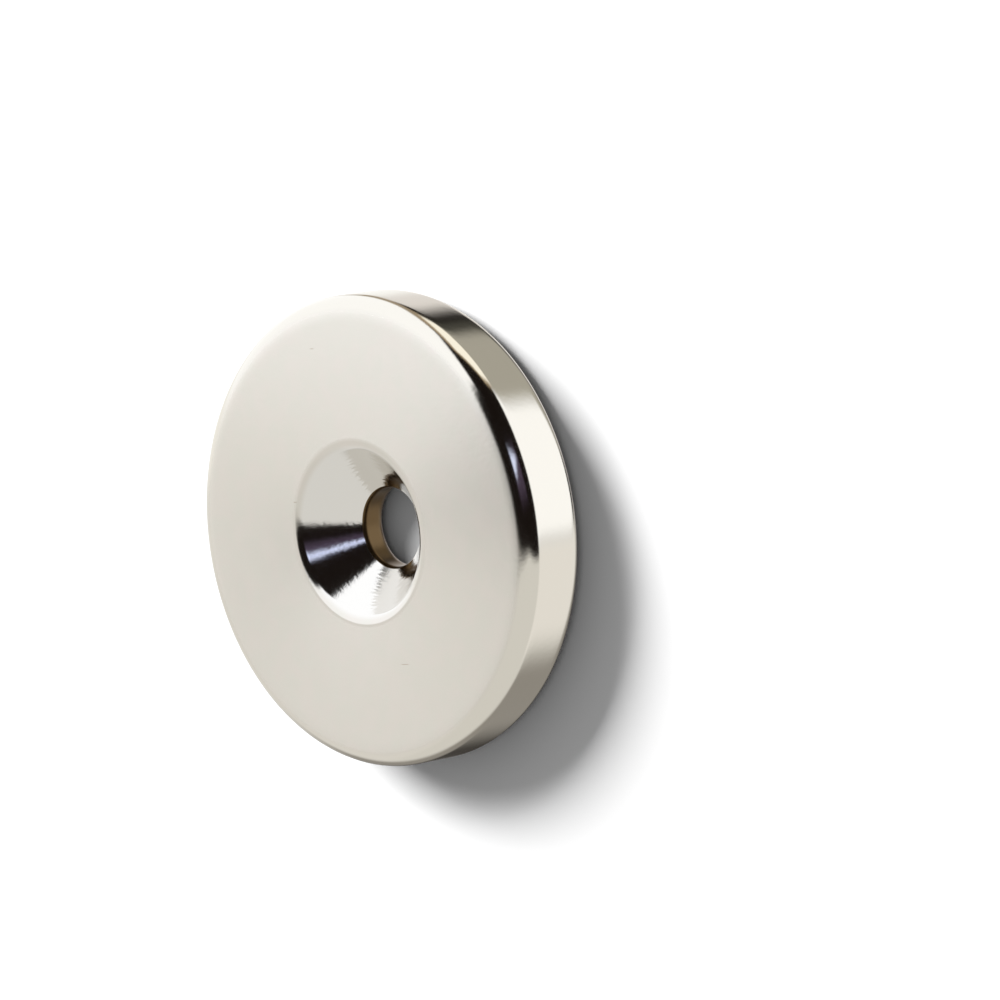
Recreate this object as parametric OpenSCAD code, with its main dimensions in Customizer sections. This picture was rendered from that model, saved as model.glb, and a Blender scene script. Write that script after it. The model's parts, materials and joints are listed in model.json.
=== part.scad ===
// Screw-on disc magnet: one flat, nickel-plated disc with a countersunk hole through its middle.
// It lies on its back face with the countersink up. The origin is the middle of the back face.
// Every edge is rounded, as sintered magnets are tumbled before they are plated.

/* [Disc] */
// Diameter over the rim
disc_diameter = 30; // [24:0.5:60]
// Thickness from the back face to the front face
disc_thickness = 5; // [4:0.25:12]

/* [Screw hole] */
// Diameter of the straight hole for the shank of the screw
hole_diameter = 5; // [3:0.1:6.5]
// Diameter at which the cone for the head of the screw meets the front face
countersink_diameter = 11; // [8:0.25:12.5]
// Full angle of the cone, in degrees
countersink_angle = 90; // [82:1:100]

/* [Rounded edges] */
// Radius of the edge between the rim and the front face
front_edge_radius = 1.1; // [0.2:0.05:1.8]
// Radius of the edge between the rim and the back face
back_edge_radius = 1.1; // [0.2:0.05:1.8]
// Radius of the lip between the front face and the cone
lip_radius = 0.9; // [0.1:0.05:1.5]
// Radius of the throat between the cone and the straight hole
throat_radius = 0.5; // [0.1:0.05:1.2]
// Radius of the edge between the straight hole and the back face
hole_back_radius = 1; // [0.1:0.05:1.2]

/* [Hidden] */
$fn = 180;

nickel = [0.78, 0.76, 0.72];

// Share of an edge of the section that its two rounded ends may take up between them
roundable_share = 0.9;
// How far a cut runs past the outline, so that it leaves no skin behind
cut_overrun = 0.2;
// How far the circle of an arc reaches past the edges it blends into, so that no sliver is left between them
blend_overlap = 0.0001;

disc_radius = disc_diameter / 2;
hole_radius = hole_diameter / 2;
countersink_radius = countersink_diameter / 2;
countersink_depth = (countersink_radius - hole_radius) / tan(countersink_angle / 2);
throat_height = disc_thickness - countersink_depth;

// Corners of the half section, anticlockwise, as [distance from the axis, height, radius asked for]
section = [
    [hole_radius, 0, hole_back_radius],
    [disc_radius, 0, back_edge_radius],
    [disc_radius, disc_thickness, front_edge_radius],
    [countersink_radius, disc_thickness, lip_radius],
    [hole_radius, throat_height, throat_radius]
];
corner_count = len(section);

// Number of a corner, counted round and round the section
function wrapped(i) = (i + corner_count) % corner_count;

// Point at corner i
function corner(i) = [section[wrapped(i)][0], section[wrapped(i)][1]];

// Unit vector from corner i towards corner j
function towards(i, j) = (corner(j) - corner(i)) / norm(corner(j) - corner(i));

// Half of the angle inside the metal at corner i
function half_angle(i) = acos(towards(i, i - 1) * towards(i, i + 1)) / 2;

// Length that the round asked for at corner i takes from each of its two edges
function asked_length(i) = section[wrapped(i)][2] / tan(half_angle(i));

// How much of the rounds asked for fits on the edge from corner i to corner i + 1
function fitting_share(i) =
    min(1, roundable_share * norm(corner(i + 1) - corner(i)) / (asked_length(i) + asked_length(i + 1)));

// Radius that corner i gets: the one asked for, unless a short edge limits it
function rounded_radius(i) = section[wrapped(i)][2] * min(fitting_share(i - 1), fitting_share(i));

// Outward unit normal of the edge from corner i to corner i + 1
function edge_normal(i) = [towards(i, i + 1)[1], -towards(i, i + 1)[0]];

// The metal outside the arc at corner i: a kite from the arc's centre to past the corner, less the circle
module corner_waste(i) {
    radius = rounded_radius(i);
    sum_of_edges = towards(i, i - 1) + towards(i, i + 1);
    inward = sum_of_edges / norm(sum_of_edges);
    arc_centre = corner(i) + inward * radius / sin(half_angle(i));
    reach = radius + cut_overrun;
    difference() {
        polygon([
            arc_centre,
            arc_centre + reach * edge_normal(i - 1),
            arc_centre - inward * reach / sin(half_angle(i)),
            arc_centre + reach * edge_normal(i)
        ]);
        translate(arc_centre)
            circle(radius + blend_overlap);
    }
}

// Half of the magnet's section, to the right of the axis
module half_section() {
    difference() {
        polygon([for (i = [0 : corner_count - 1]) corner(i)]);
        for (i = [0 : corner_count - 1])
            corner_waste(i);
    }
}

// The whole magnet, turned from its section
module magnet() {
    color(nickel)
        rotate_extrude()
            half_section();
}

magnet();
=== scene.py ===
import json
import math

import bpy
from mathutils import Matrix, Vector


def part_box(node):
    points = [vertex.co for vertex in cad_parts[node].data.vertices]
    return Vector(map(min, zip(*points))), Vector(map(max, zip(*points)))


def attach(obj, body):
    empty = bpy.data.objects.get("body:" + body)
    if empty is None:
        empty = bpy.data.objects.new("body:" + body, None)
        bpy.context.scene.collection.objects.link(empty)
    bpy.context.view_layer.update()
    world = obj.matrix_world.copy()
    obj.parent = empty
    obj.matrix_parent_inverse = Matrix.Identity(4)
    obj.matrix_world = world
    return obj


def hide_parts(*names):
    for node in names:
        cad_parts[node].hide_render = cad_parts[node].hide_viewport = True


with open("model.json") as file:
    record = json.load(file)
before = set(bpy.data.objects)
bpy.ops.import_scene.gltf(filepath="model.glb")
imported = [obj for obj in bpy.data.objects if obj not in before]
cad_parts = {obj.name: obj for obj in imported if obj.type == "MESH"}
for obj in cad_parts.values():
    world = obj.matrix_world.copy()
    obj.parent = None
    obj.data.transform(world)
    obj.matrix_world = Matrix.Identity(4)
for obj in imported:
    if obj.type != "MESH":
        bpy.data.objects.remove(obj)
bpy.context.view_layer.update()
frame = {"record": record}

MM = 0.001

# Sizes of the magnet, read from the frame where it has them
_, high_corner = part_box("magnet")
DISC_RADIUS = high_corner.x
DISC_THICKNESS = high_corner.z
mount_sizes = {mount["name"]: mount["dims"] for mount in frame["record"]["mounts"]}
HOLE_RADIUS = mount_sizes["screw_hole"]["r_mm"] * MM
COUNTERSINK_RADIUS = 5.5 * MM
FRONT_EDGE_RADIUS = 1.1 * MM
BACK_EDGE_RADIUS = 1.1 * MM
LIP_RADIUS = 0.9 * MM
THROAT_RADIUS = 0.5 * MM
HOLE_BACK_RADIUS = 1.0 * MM

# The cone's slope from the front face, and the height at which the cone meets the straight hole
CONE_SLOPE = math.radians(45)
THROAT_HEIGHT = DISC_THICKNESS - (COUNTERSINK_RADIUS - HOLE_RADIUS) * math.tan(CONE_SLOPE)

# Distances from the axis at which the round of the lip begins on the flat and ends on the cone
LIP_REACH = LIP_RADIUS * math.tan(CONE_SLOPE / 2)
LIP_START = COUNTERSINK_RADIUS + LIP_REACH
CONE_END = COUNTERSINK_RADIUS - LIP_REACH * math.cos(CONE_SLOPE)

# How finely the turned surface is divided
STEPS_AROUND = 400
ARC_STEPS = 20
FACE_STEPS = 30
CONE_STEPS = 88
PLAIN_STEPS = 6

# Turning marks that the countersink tool leaves on the cone: how far apart, how high, how much they wander
# on their way round, how fine they are, and the heights between which they fade in, well above the back
MARK_SPACING = 0.13 * MM
MARK_HEIGHT = 0.010 * MM
MARK_DRIFT = 7.0
MARK_DETAIL = 2.0
MARKS_FADE_IN = (DISC_THICKNESS * 0.3, DISC_THICKNESS * 0.4)

# Height above the throat's corner at which the finish of the cone begins
CONE_FINISH_RISE = THROAT_RADIUS * 0.28

# The flat face falls away a little before its rounded edge, from being tumbled: slowly from the start
# of the crown, and a little more over the shoulder where the round begins
CROWN_START = 6.5 * MM
CROWN_DROP = 0.18 * MM
SHOULDER_START = DISC_RADIUS - 1.45 * MM
SHOULDER_END = DISC_RADIUS - 0.75 * MM
SHOULDER_DROP = 0.021 * MM

# Small nicks in the front face: how far round they lie, in degrees, distance from the axis and length.
# All of them run the same way, and the core is the share of their width that has their full colour.
FACE_NICKS = [(194.3, 8.9 * MM, 0.85 * MM), (7.3, 12.05 * MM, 0.45 * MM), (64.3, 5.95 * MM, 0.4 * MM)]
NICK_WIDTH = 0.09 * MM
NICK_CORE = 0.4
NICK_WAY = math.radians(84)

# Colours that the plating reflects, as linear light: on the rim, in and between the clouds of the ground
# face, in its nicks, in the countersink and in the straight hole, whose brown is darkened as painted shade
NICKEL = (0.77, 0.735, 0.665, 1.0)
ROSY_NICKEL = (0.738, 0.697, 0.643, 1.0)
GREENISH_NICKEL = (0.724, 0.698, 0.638, 1.0)
NICK_SHADE = (0.60, 0.545, 0.48, 1.0)
CONE_NICKEL = (0.80, 0.78, 0.745, 1.0)
# The straight hole's colour is painted shade as well as thin brown plating: darker than the plating, for
# the deep hole
BORE_NICKEL_AND_PAINTED_SHADE = (0.135, 0.088, 0.042, 1.0)

# The ground face: its roughness between the clouds and in them, how strongly it is grained, and the turn of
# the grain, as a share of a full turn from the shader's tangent
SATIN_ROUGHNESS = (0.20, 0.22)
SATIN_GRAIN = 0.68
GRAIN_TURN = 0.25

# The ground face isn't fully metallic, because its scratches also scatter light all ways. It is so from
# this share of the full polish on.
SATIN_METALLIC = 0.86
METALLIC_POLISH = 0.6

# Size of the clouds in the ground face, and the part of the noise's range over which they come in
SATIN_CLOUD = 1.6 * MM
SATIN_RANGE = (0.3, 0.7)
COLOUR_CLOUD = 1.3 * MM
COLOUR_RANGE = (0.35, 0.65)
COLOUR_DETAIL = 2.0

# Distances from the axis between which the ground face turns into the polished edge, the polished lip and
# the colour of the cone
RIM_POLISH = (DISC_RADIUS - 1.1 * MM, DISC_RADIUS - 0.7 * MM)
LIP_POLISH = (LIP_START, LIP_START + 0.2 * MM)
LIP_COLOUR = (COUNTERSINK_RADIUS - 0.25 * MM, COUNTERSINK_RADIUS + 0.15 * MM)

# Roughness of the polished edges, of the cone and of the straight hole
EDGE_ROUGHNESS = 0.11
CONE_ROUGHNESS = 0.095
BORE_ROUGHNESS = 0.3

# Fine unevenness of the plating, the cone and the straight hole: size of its features and their height
PLATING_BUMPS = (0.3 * MM, 0.002 * MM)
CONE_BUMPS = (0.09 * MM, 0.003 * MM)
BORE_BUMPS = (0.2 * MM, 0.003 * MM)

# Camera: focal length and the middle of the front face in pixels of the square frame, how far off it is,
# how steeply it looks down and how it is turned about its own axis
FRAME_PIXELS = 1000.0
FOCAL_PIXELS = 6872.0
FACE_PIXEL = (358.6, 532.9)
CAMERA_DISTANCE = 0.43275
CAMERA_DROP = math.radians(44.1)
CAMERA_ROLL = math.radians(-99.55)
SENSOR_WIDTH = 36.0
NEAREST_SEEN = 0.01

# Studio: the light tent and the floor, in metres, and the strength of the light all round, for the object
# and for the camera. The lamp gives the shadow: size in metres, power in watts, place in degrees.
TENT_RADIUS = 3.0
FLOOR_REACH = 2.0
FLOOR_COLOUR = (0.97, 0.97, 0.97, 1.0)
FLOOR_ROUGHNESS = 0.9
WHITE = (1.0, 1.0, 1.0, 1.0)
ROOM_STRENGTH = 0.3
BACKDROP_STRENGTH = 1.0
LAMP_SIZE = 0.5
LAMP_POWER = 23.0
LAMP_BEARING = 133
LAMP_ELEVATION = 30

# A mix node's sockets: the pair for numbers and the pair for colours, and where each result comes out
NUMBER_PAIR = (2, 3)
NUMBER_RESULT = 0
COLOUR_PAIR = (6, 7)
COLOUR_RESULT = 2


# Shape of the section

def unit(vector):
    return vector.normalized()


def corner_arc(before, corner, after, radius, steps):
    """Points of the round at a corner, from its edge towards before to its edge towards after."""
    to_before = unit(before - corner)
    to_after = unit(after - corner)
    half_angle = to_before.angle(to_after) / 2
    inward = unit(to_before + to_after)
    centre = corner + inward * radius / math.sin(half_angle)
    first = corner + to_before * radius / math.tan(half_angle) - centre
    last = corner + to_after * radius / math.tan(half_angle) - centre
    sweep = math.atan2(first.cross(last), first.dot(last))
    points = []
    for step in range(steps + 1):
        turn = Matrix.Rotation(sweep * step / steps, 2)
        points.append(centre + turn @ first)
    return points


def section_outline():
    """The closed half section, as points (distance from the axis, height), anticlockwise."""
    corners = [
        (Vector((HOLE_RADIUS, 0.0)), HOLE_BACK_RADIUS, PLAIN_STEPS),
        (Vector((DISC_RADIUS, 0.0)), BACK_EDGE_RADIUS, PLAIN_STEPS),
        (Vector((DISC_RADIUS, DISC_THICKNESS)), FRONT_EDGE_RADIUS, FACE_STEPS),
        (Vector((COUNTERSINK_RADIUS, DISC_THICKNESS)), LIP_RADIUS, CONE_STEPS),
        (Vector((HOLE_RADIUS, THROAT_HEIGHT)), THROAT_RADIUS, PLAIN_STEPS),
    ]
    arcs = []
    for i, (corner, radius, _) in enumerate(corners):
        before = corners[i - 1][0]
        after = corners[(i + 1) % len(corners)][0]
        arcs.append(corner_arc(before, corner, after, radius, ARC_STEPS))
    outline = []
    for i, (_, _, straight_steps) in enumerate(corners):
        outline += arcs[i]
        start = arcs[i][-1]
        end = arcs[(i + 1) % len(arcs)][0]
        for step in range(1, straight_steps):
            outline.append(start.lerp(end, step / straight_steps))
    return [tumbled(point) for point in outline]


def tumbled(point):
    """A point of the section, lowered where the front face falls away towards its edge."""
    past_start = max(0.0, point.x - CROWN_START) / (DISC_RADIUS - CROWN_START)
    shoulder = min(1.0, max(0.0, (point.x - SHOULDER_START) / (SHOULDER_END - SHOULDER_START)))
    drop = CROWN_DROP * past_start ** 2 + SHOULDER_DROP * shoulder ** 2 * (3 - 2 * shoulder)

    # Zero up to half the thickness, and one at the front face
    on_front = max(0.0, point.y / DISC_THICKNESS - 0.5) * 2
    return Vector((point.x, point.y - drop * on_front))


def section_object():
    """The section as a closed ring of edges, standing in the XZ plane."""
    outline = section_outline()
    mesh = bpy.data.meshes.new("magnet_section")
    edges = [(i, (i + 1) % len(outline)) for i in range(len(outline))]
    mesh.from_pydata([(point.x, 0.0, point.y) for point in outline], edges, [])
    section = bpy.data.objects.new("magnet_section", mesh)
    bpy.context.scene.collection.objects.link(section)
    return section


# Nodes

class NodeSheet:
    """Short calls for placing and joining the nodes of one tree."""

    def __init__(self, tree):
        self.tree = tree

    def add(self, kind, **settings):
        node = self.tree.nodes.new(kind)
        for name, value in settings.items():
            setattr(node, name, value)
        return node

    def join(self, source, target):
        self.tree.links.new(source, target)

    def feed(self, socket, value):
        """Sets a socket to a value, or joins it to another node's output."""
        if isinstance(value, bpy.types.NodeSocket):
            self.join(value, socket)
        else:
            socket.default_value = value

    def math(self, operation, *values):
        node = self.add("ShaderNodeMath", operation=operation)
        for socket, value in zip(node.inputs, values):
            self.feed(socket, value)
        return node.outputs[0]

    def vector_math(self, operation, *values):
        node = self.add("ShaderNodeVectorMath", operation=operation)
        for socket, value in zip(node.inputs, values):
            self.feed(socket, value)
        return node.outputs["Value" if operation in ("DOT_PRODUCT", "LENGTH") else "Vector"]

    def fade(self, value, start, end, low=0.0, high=1.0):
        """Low before start, high after end, and a smooth step between them."""
        node = self.add("ShaderNodeMapRange", interpolation_type="SMOOTHSTEP")
        self.feed(node.inputs["Value"], value)
        self.feed(node.inputs["From Min"], start)
        self.feed(node.inputs["From Max"], end)
        self.feed(node.inputs["To Min"], low)
        self.feed(node.inputs["To Max"], high)
        return node.outputs["Result"]

    def mixed(self, kind, pair, result, amount, before, after):
        """Result of a mix node of that kind, given the numbers of its two inputs and of its result."""
        node = self.add("ShaderNodeMix", data_type=kind)
        self.feed(node.inputs[0], amount)
        self.feed(node.inputs[pair[0]], before)
        self.feed(node.inputs[pair[1]], after)
        return node.outputs[result]

    def blend(self, amount, before, after):
        """Number before where the amount is zero and number after where it is one."""
        return self.mixed("FLOAT", NUMBER_PAIR, NUMBER_RESULT, amount, before, after)

    def tint(self, amount, before, after):
        """Colour before where the amount is zero and colour after where it is one."""
        return self.mixed("RGBA", COLOUR_PAIR, COLOUR_RESULT, amount, before, after)

    def distance_and_height(self, place):
        """Distance of a place from the Z axis, and its height."""
        parts = self.add("ShaderNodeSeparateXYZ")
        self.join(place, parts.inputs[0])
        squares = self.math("ADD", self.math("MULTIPLY", parts.outputs["X"], parts.outputs["X"]),
                            self.math("MULTIPLY", parts.outputs["Y"], parts.outputs["Y"]))
        return self.math("SQRT", squares), parts.outputs["Z"]


# Geometry Nodes: turning the section about the axis

def turning_tree(finishes):
    """Tree that turns a section about the Z axis, marks its cone and gives each surface its finish."""
    tree = bpy.data.node_groups.new("turned_from_section", "GeometryNodeTree")
    sheet = NodeSheet(tree)
    tree.interface.new_socket("Section", in_out="INPUT", socket_type="NodeSocketGeometry")
    sizes = {
        "Steps Around": ("NodeSocketInt", STEPS_AROUND),
        "Hole Radius": ("NodeSocketFloat", HOLE_RADIUS),
        "Countersink Radius": ("NodeSocketFloat", COUNTERSINK_RADIUS),
        "Mark Spacing": ("NodeSocketFloat", MARK_SPACING),
        "Mark Height": ("NodeSocketFloat", MARK_HEIGHT),
    }
    for name, (kind, _) in sizes.items():
        tree.interface.new_socket(name, in_out="INPUT", socket_type=kind)
    tree.interface.new_socket("Turned", in_out="OUTPUT", socket_type="NodeSocketGeometry")
    given = sheet.add("NodeGroupInput").outputs
    result = sheet.add("NodeGroupOutput")

    # The section's own place rides along as an attribute
    section_place = sheet.add("GeometryNodeCaptureAttribute", domain="POINT")
    section_place.capture_items.new("VECTOR", "Place")
    sheet.join(given["Section"], section_place.inputs["Geometry"])
    sheet.join(sheet.add("GeometryNodeInputPosition").outputs[0], section_place.inputs["Place"])
    section_curve = sheet.add("GeometryNodeMeshToCurve")
    sheet.join(section_place.outputs["Geometry"], section_curve.inputs["Mesh"])

    # The path round the axis carries how far round it is
    circle = sheet.add("GeometryNodeCurvePrimitiveCircle", mode="RADIUS")
    sheet.join(given["Steps Around"], circle.inputs["Resolution"])
    turn = sheet.add("GeometryNodeCaptureAttribute", domain="POINT")
    turn.capture_items.new("FLOAT", "Turn")
    sheet.join(circle.outputs["Curve"], turn.inputs["Geometry"])
    step_number = sheet.add("GeometryNodeInputIndex").outputs[0]
    share_round = sheet.math("DIVIDE", step_number, given["Steps Around"])
    sheet.join(share_round, turn.inputs["Turn"])
    swept = sheet.add("GeometryNodeCurveToMesh")
    sheet.join(turn.outputs["Geometry"], swept.inputs["Curve"])
    sheet.join(section_curve.outputs["Curve"], swept.inputs["Profile Curve"])

    # Turning marks: ridges that run round the cone, strongest in its middle
    place = sheet.add("ShaderNodeSeparateXYZ")
    sheet.join(section_place.outputs["Place"], place.inputs[0])
    radius = place.outputs["X"]
    height = place.outputs["Z"]
    hole = given["Hole Radius"]
    mouth = given["Countersink Radius"]
    past_throat = sheet.fade(radius, sheet.math("ADD", hole, THROAT_RADIUS / 2),
                             sheet.math("ADD", hole, THROAT_RADIUS))
    before_lip = sheet.fade(radius, sheet.math("SUBTRACT", mouth, LIP_RADIUS),
                            sheet.math("SUBTRACT", mouth, LIP_RADIUS / 3), 1.0, 0.0)
    on_cone = sheet.math("MULTIPLY", past_throat, before_lip)
    above_back = sheet.fade(height, *MARKS_FADE_IN)
    angle = sheet.math("MULTIPLY", turn.outputs["Turn"], math.tau)
    along = sheet.add("ShaderNodeCombineXYZ")
    sheet.join(sheet.math("DIVIDE", radius, given["Mark Spacing"]), along.inputs["X"])
    sheet.join(sheet.math("MULTIPLY", sheet.math("COSINE", angle), MARK_DRIFT), along.inputs["Y"])
    sheet.join(sheet.math("MULTIPLY", sheet.math("SINE", angle), MARK_DRIFT), along.inputs["Z"])
    chatter = sheet.add("ShaderNodeTexNoise")
    sheet.join(along.outputs[0], chatter.inputs["Vector"])
    chatter.inputs["Scale"].default_value = 1.0
    chatter.inputs["Detail"].default_value = MARK_DETAIL

    # The noise lies between 0 and 1, and the wave between -1 and 1
    wave = sheet.math("MULTIPLY", sheet.math("SUBTRACT", chatter.outputs["Fac"], 0.5), 2.0)
    ridge = sheet.math("MULTIPLY", sheet.math("MULTIPLY", wave, given["Mark Height"]),
                       sheet.math("MULTIPLY", on_cone, above_back))
    height_cut = sheet.math("ADD", height, ridge)

    # Every point goes to its place round the axis
    placed = sheet.add("ShaderNodeCombineXYZ")
    sheet.join(sheet.math("MULTIPLY", radius, sheet.math("COSINE", angle)), placed.inputs["X"])
    sheet.join(sheet.math("MULTIPLY", radius, sheet.math("SINE", angle)), placed.inputs["Y"])
    sheet.join(height_cut, placed.inputs["Z"])
    moved = sheet.add("GeometryNodeSetPosition")
    sheet.join(swept.outputs["Mesh"], moved.inputs["Geometry"])
    sheet.join(placed.outputs[0], moved.inputs["Position"])
    smooth = sheet.add("GeometryNodeSetShadeSmooth")
    sheet.join(moved.outputs[0], smooth.inputs[0])

    # Each surface gets its finish by where its faces lie
    face_place = sheet.add("GeometryNodeInputPosition").outputs[0]
    face_radius, face_height = sheet.distance_and_height(face_place)
    above_rim = sheet.math("GREATER_THAN", face_height, DISC_THICKNESS - FRONT_EDGE_RADIUS)
    outside_mouth = sheet.math("GREATER_THAN", face_radius, CONE_END)
    inside_mouth = sheet.math("LESS_THAN", face_radius, CONE_END)
    over_throat = sheet.math("GREATER_THAN", face_height, THROAT_HEIGHT + CONE_FINISH_RISE)
    near_hole = sheet.math("LESS_THAN", face_radius, HOLE_RADIUS + HOLE_BACK_RADIUS)
    below_rim = sheet.math("LESS_THAN", face_height, BACK_EDGE_RADIUS)
    regions = {
        "cone": sheet.math("MULTIPLY", over_throat, inside_mouth),
        "face": sheet.math("MAXIMUM", sheet.math("MULTIPLY", above_rim, outside_mouth), below_rim),
        "bore": sheet.math("MULTIPLY", near_hole, sheet.math("SUBTRACT", 1.0, over_throat)),
    }
    dressed = sheet.add("GeometryNodeSetMaterial")
    dressed.inputs["Material"].default_value = finishes["edge"]
    sheet.join(smooth.outputs[0], dressed.inputs["Geometry"])
    last = dressed
    for region, chosen in regions.items():
        dressed = sheet.add("GeometryNodeSetMaterial")
        dressed.inputs["Material"].default_value = finishes[region]
        sheet.join(chosen, dressed.inputs["Selection"])
        sheet.join(last.outputs[0], dressed.inputs["Geometry"])
        last = dressed
    outwards = sheet.add("GeometryNodeFlipFaces")
    sheet.join(last.outputs[0], outwards.inputs["Mesh"])
    realized = sheet.add("GeometryNodeRealizeInstances")
    sheet.join(outwards.outputs["Mesh"], realized.inputs[0])
    sheet.join(realized.outputs[0], result.inputs[0])
    return tree, sizes


def turned_magnet(finishes):
    """The magnet as one closed mesh turned from its section."""
    section = section_object()
    tree, sizes = turning_tree(finishes)
    modifier = section.modifiers.new("turn", "NODES")
    modifier.node_group = tree
    inputs = [item for item in tree.interface.items_tree if item.in_out == "INPUT"]
    identifiers = {item.name: item.identifier for item in inputs}
    for name, (_, value) in sizes.items():
        modifier[identifiers[name]] = value
    graph = bpy.context.evaluated_depsgraph_get()
    mesh = bpy.data.meshes.new_from_object(section.evaluated_get(graph))
    mesh.name = "magnet_turned"
    bpy.data.objects.remove(section)
    magnet = bpy.data.objects.new("plated_magnet", mesh)
    bpy.context.scene.collection.objects.link(magnet)
    return magnet


# Finishes

class Finish(NodeSheet):
    """A node material with one metal shader, built up by short calls."""

    def __init__(self, name, roughness, anisotropy=0.0):
        self.material = bpy.data.materials.new(name)
        self.material.use_nodes = True
        super().__init__(self.material.node_tree)
        self.shader = self.tree.nodes["Principled BSDF"]
        self.shader.inputs["Base Color"].default_value = NICKEL
        self.shader.inputs["Metallic"].default_value = 1.0
        self.shader.inputs["Roughness"].default_value = roughness
        self.shader.inputs["Anisotropic"].default_value = anisotropy
        self.place = self.add("ShaderNodeTexCoord").outputs["Object"]

    def noise(self, size, detail=3.0):
        """Noise whose features are about that size."""
        node = self.add("ShaderNodeTexNoise")
        self.join(self.place, node.inputs["Vector"])
        node.inputs["Scale"].default_value = 1.0 / size
        node.inputs["Detail"].default_value = detail
        return node.outputs["Fac"]

    def nick(self, around, from_axis, length):
        """One in a short fine mark in the front face, and zero outside."""
        outwards = Vector((math.cos(around), math.sin(around), 0.0))
        along = Vector((math.cos(NICK_WAY), math.sin(NICK_WAY), 0.0))
        across = Vector((-along.y, along.x, 0.0))
        middle = outwards * from_axis + Vector((0.0, 0.0, DISC_THICKNESS))
        from_middle = self.vector_math("SUBTRACT", self.place, middle)
        mask = self.fade(self.vector_math("LENGTH", from_middle), length / 2, length, 1.0, 0.0)
        for way, reach in ((along, length / 2), (across, NICK_WIDTH / 2)):
            offset = self.math("ABSOLUTE", self.vector_math("DOT_PRODUCT", from_middle, way))
            mask = self.math("MULTIPLY", mask, self.fade(offset, reach * NICK_CORE, reach, 1.0, 0.0))
        return mask

    def uneven(self, size, height):
        """Fine bumps all over, whose features are about that size and height."""
        node = self.add("ShaderNodeBump")
        node.inputs["Distance"].default_value = height
        self.join(self.noise(size), node.inputs["Height"])
        self.join(node.outputs[0], self.shader.inputs["Normal"])


def satin_face():
    """Ground front and back: grained on the flat, and polished towards the rounded rim and the lip."""
    finish = Finish("satin_nickel_face", sum(SATIN_ROUGHNESS) / 2, SATIN_GRAIN)
    grain = finish.add("ShaderNodeTangent", direction_type="RADIAL", axis="Z")
    finish.join(grain.outputs[0], finish.shader.inputs["Tangent"])
    finish.shader.inputs["Anisotropic Rotation"].default_value = GRAIN_TURN

    # Where the metal is polished
    radius, height = finish.distance_and_height(finish.place)
    on_front = finish.math("GREATER_THAN", height, DISC_THICKNESS / 2)
    towards_rim = finish.fade(radius, *RIM_POLISH)
    near_lip = finish.math("MULTIPLY", on_front, finish.fade(radius, *LIP_POLISH, 1.0, 0.0))
    polished = finish.math("MAXIMUM", towards_rim, near_lip)
    satin = finish.fade(finish.noise(SATIN_CLOUD), *SATIN_RANGE, *SATIN_ROUGHNESS)
    roughness = finish.blend(polished, satin, EDGE_ROUGHNESS)
    finish.join(roughness, finish.shader.inputs["Roughness"])
    metallic = finish.fade(polished, 0.0, METALLIC_POLISH, SATIN_METALLIC, 1.0)
    finish.join(metallic, finish.shader.inputs["Metallic"])

    # Colour: clouds, the rim, the lip and the nicks
    clouds = finish.fade(finish.noise(COLOUR_CLOUD, COLOUR_DETAIL), *COLOUR_RANGE)
    colour = finish.tint(clouds, GREENISH_NICKEL, ROSY_NICKEL)
    colour = finish.tint(towards_rim, colour, NICKEL)
    on_lip = finish.math("MULTIPLY", on_front, finish.fade(radius, *LIP_COLOUR, 1.0, 0.0))
    colour = finish.tint(on_lip, colour, CONE_NICKEL)
    for around, from_axis, length in FACE_NICKS:
        colour = finish.tint(finish.nick(math.radians(around), from_axis, length), colour, NICK_SHADE)
    finish.join(colour, finish.shader.inputs["Base Color"])
    finish.uneven(*PLATING_BUMPS)
    return finish.material


def bright_edge():
    """Polished plating of the rim."""
    finish = Finish("bright_nickel_edge", EDGE_ROUGHNESS)
    finish.uneven(*PLATING_BUMPS)
    return finish.material


def turned_cone():
    """Bright plating of the countersink cone, over the marks of its tool."""
    finish = Finish("turned_nickel_cone", CONE_ROUGHNESS)
    finish.shader.inputs["Base Color"].default_value = CONE_NICKEL
    finish.uneven(*CONE_BUMPS)
    return finish.material


def bore_with_painted_shade():
    """Straight hole, where the plating is thin, brown and duller, and its colour darker still as painted
    shade of the deep hole.
    """
    finish = Finish("nickel_bore_painted_shade", BORE_ROUGHNESS)
    # Its dark brown is partly painted shade of the deep hole, not only the plating's colour
    finish.shader.inputs["Base Color"].default_value = BORE_NICKEL_AND_PAINTED_SHADE
    finish.uneven(*BORE_BUMPS)
    return finish.material


# Studio

def direction(bearing, elevation):
    """Unit vector for a bearing, anticlockwise from the camera's side, and an elevation, in degrees."""
    turn = math.radians(bearing)
    rise = math.radians(elevation)
    return Vector((math.sin(turn) * math.cos(rise), -math.cos(turn) * math.cos(rise), math.sin(rise)))


def card_mask(sheet, ray, corners, softness):
    """One where the ray meets the card with those corners, whose outline is convex, and zero elsewhere."""
    points = [direction(*corner) for corner in corners]
    middle = unit(sum(points, Vector()))
    mask = None
    for i, point in enumerate(points):
        inwards = unit(point.cross(points[(i + 1) % len(points)]))
        if inwards.dot(middle) < 0:
            inwards = -inwards
        inside = sheet.fade(sheet.vector_math("DOT_PRODUCT", ray, inwards), -softness, softness)
        mask = inside if mask is None else sheet.math("MULTIPLY", mask, inside)
    return mask


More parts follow.
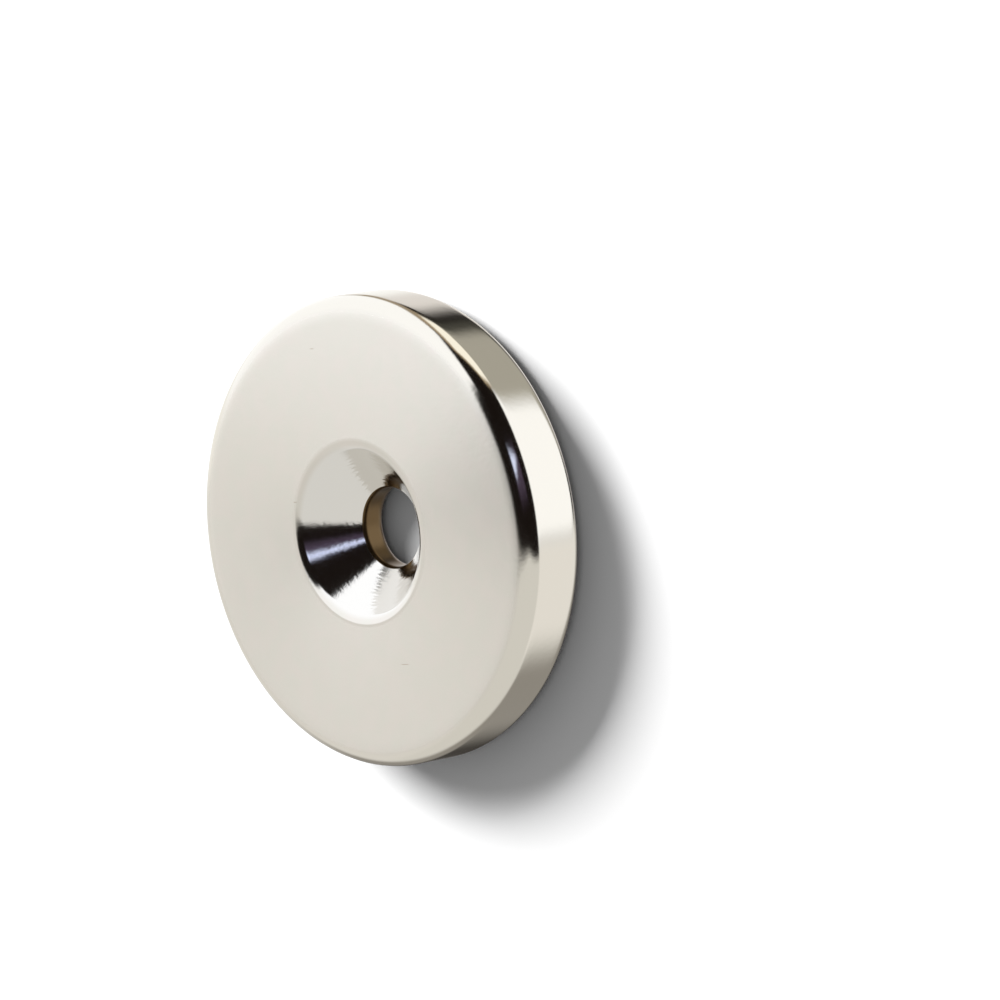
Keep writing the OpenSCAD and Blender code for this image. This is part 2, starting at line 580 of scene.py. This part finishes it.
# What stands round the magnet in the dark room, each laid over the ones before it:
# name, corners as (bearing, elevation) in degrees, softness of the edge, colour of its light
STUDIO_CARDS = [
    ("violet haze", [(4, 20), (4, 66), (28, 66), (26, 20)],
     0.10, (0.075, 0.055, 0.088)),
    ("cool lamp", [(22, 27), (16, 56), (20, 64), (34, 60)],
     0.05, (0.90, 1.0, 1.36)),
    ("pale wall", [(-23, -70), (-23, 45), (-181, 49), (-184, -70)],
     0.05, (0.792, 0.786, 0.756)),
    ("lit wall", [(-184, -30), (-184, 48), (-142, 48), (-138, -30)],
     0.10, (0.845, 0.835, 0.81)),
    ("dim corner", [(-159, 4), (-107, -4), (-76, -38), (-80, -75), (-180, -75)],
     0.18, (0.33, 0.315, 0.29)),
    ("dark corner", [(-180, -30), (-138, -32), (-133, -75), (-180, -75)],
     0.22, (0.05, 0.045, 0.04)),
    ("pale cloth", [(-69, -24), (-16, -24), (-16, -75), (-69, -75)],
     0.12, (0.96, 0.945, 0.92)),
    ("brown edge of the cream card", [(53, -30), (53, -2), (77, 23), (108, -14), (104, -32)],
     0.06, (0.42, 0.33, 0.22)),
    ("cream card", [(57, -32), (57, -5), (75, 15), (99, -16), (103, -32)],
     0.05, (1.24, 1.20, 1.08)),
    ("shaded table", [(49, -30), (104, -30), (104, -80), (49, -80)],
     0.06, (0.47, 0.455, 0.40)),
    ("white table", [(-18, -22), (5, -16), (28, -13), (52, -19), (51, -78), (-20, -78)],
     0.09, (1.25, 1.27, 1.30)),
    ("far table", [(121, -20), (172, -30), (172, -80), (121, -80)],
     0.12, (0.88, 0.85, 0.83)),
    ("pale backdrop", [(148, -50), (148, 51), (178, 50), (178, -50)],
     0.10, (1.07, 1.07, 1.05)),
    ("brown sill", [(90, 12), (104, -22), (142, -38), (142, -18), (100, 12)],
     0.05, (0.40, 0.33, 0.24)),
    ("bright window",
     [(178, 51), (170, 60), (150, 67), (115, 67.5), (78, 58), (86, 18), (107, -11), (158, -35)],
     0.05, (1.25, 1.28, 1.33)),
    ("gap past the table", [(98, -20), (108, -25), (108, -78), (98, -78)],
     0.08, (0.04, 0.04, 0.033)),
]
DARK_ROOM = (0.0104, 0.0076, 0.0066)


def studio_dome():
    """Light tent that only the metal's reflections show: a dark room with the cards in it."""
    bpy.ops.mesh.primitive_uv_sphere_add(segments=48, ring_count=24, radius=TENT_RADIUS)
    dome = bpy.context.object
    dome.name = "light_tent"
    material = bpy.data.materials.new("light_tent")
    material.use_nodes = True
    material.cycles.emission_sampling = "NONE"
    sheet = NodeSheet(material.node_tree)
    material.node_tree.nodes.clear()
    out = sheet.add("ShaderNodeOutputMaterial")
    glow = sheet.add("ShaderNodeEmission")
    sheet.join(glow.outputs[0], out.inputs["Surface"])
    ray = sheet.vector_math("NORMALIZE", sheet.add("ShaderNodeTexCoord").outputs["Object"])
    colour = (*DARK_ROOM, 1.0)
    for _, corners, softness, card_colour in STUDIO_CARDS:
        mask = card_mask(sheet, ray, corners, softness)
        colour = sheet.tint(mask, colour, (*card_colour, 1.0))
    sheet.join(colour, glow.inputs["Color"])

    # The tent stays dark to light that has been scattered on its way
    times_scattered = sheet.add("ShaderNodeLightPath").outputs["Diffuse Depth"]
    sheet.join(sheet.math("LESS_THAN", times_scattered, 0.5), glow.inputs["Strength"])
    dome.data.materials.append(material)
    dome.visible_camera = False
    dome.visible_diffuse = False
    dome.visible_transmission = False
    dome.visible_shadow = False


def studio_light():
    """Even white light all round, and one soft lamp that gives the shadow."""
    world = bpy.data.worlds.new("studio")
    bpy.context.scene.world = world
    world.use_nodes = True
    sheet = NodeSheet(world.node_tree)
    background = world.node_tree.nodes["Background"]
    seen = sheet.add("ShaderNodeLightPath").outputs["Is Camera Ray"]
    sheet.join(sheet.blend(seen, ROOM_STRENGTH, BACKDROP_STRENGTH), background.inputs["Strength"])
    background.inputs["Color"].default_value = WHITE
    data = bpy.data.lights.new("window_light", "AREA")
    data.size = LAMP_SIZE
    data.energy = LAMP_POWER
    lamp = bpy.data.objects.new("window_light", data)
    bpy.context.scene.collection.objects.link(lamp)
    towards_lamp = direction(LAMP_BEARING, LAMP_ELEVATION)
    lamp.location = towards_lamp
    lamp.rotation_mode = "QUATERNION"
    lamp.rotation_quaternion = towards_lamp.to_track_quat("Z", "Y")
    lamp.visible_glossy = False


def studio_floor():
    """Plain pale floor, which keeps the shadow and which the metal doesn't mirror."""
    corners = [(x * FLOOR_REACH, y * FLOOR_REACH, 0) for x, y in ((-1, -1), (1, -1), (1, 1), (-1, 1))]
    mesh = bpy.data.meshes.new("floor")
    mesh.from_pydata(corners, [], [(0, 1, 2, 3)])
    floor = bpy.data.objects.new("floor", mesh)
    bpy.context.scene.collection.objects.link(floor)
    material = bpy.data.materials.new("pale_floor")
    material.use_nodes = True
    shader = material.node_tree.nodes["Principled BSDF"]
    shader.inputs["Base Color"].default_value = FLOOR_COLOUR
    shader.inputs["Roughness"].default_value = FLOOR_ROUGHNESS
    mesh.materials.append(material)
    floor.visible_glossy = False


def studio_camera():
    """Camera at the photograph's angle to the magnet, turned about its own axis as there."""
    data = bpy.data.cameras.new("camera")
    data.sensor_width = SENSOR_WIDTH
    data.lens = SENSOR_WIDTH * FOCAL_PIXELS / FRAME_PIXELS
    data.clip_start = NEAREST_SEEN
    camera = bpy.data.objects.new("camera", data)
    bpy.context.scene.collection.objects.link(camera)
    looking = Matrix.Rotation(math.radians(90) - CAMERA_DROP, 3, "X") @ Matrix.Rotation(CAMERA_ROLL, 3, "Z")
    sideways = (FACE_PIXEL[0] - FRAME_PIXELS / 2) / FOCAL_PIXELS
    upwards = (FRAME_PIXELS / 2 - FACE_PIXEL[1]) / FOCAL_PIXELS
    face_seen = Vector((sideways, upwards, -1.0)) * CAMERA_DISTANCE
    face_middle = Vector((0.0, 0.0, DISC_THICKNESS))
    camera.matrix_world = Matrix.Translation(face_middle - looking @ face_seen) @ looking.to_4x4()
    bpy.context.scene.camera = camera


studio_dome()
studio_light()
studio_floor()
studio_camera()

finishes = {"face": satin_face(), "edge": bright_edge(), "cone": turned_cone(), "bore": bore_with_painted_shade()}
magnet = turned_magnet(finishes)
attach(magnet, "root")
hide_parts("magnet")

bpy.context.scene.view_settings.view_transform = "Standard"
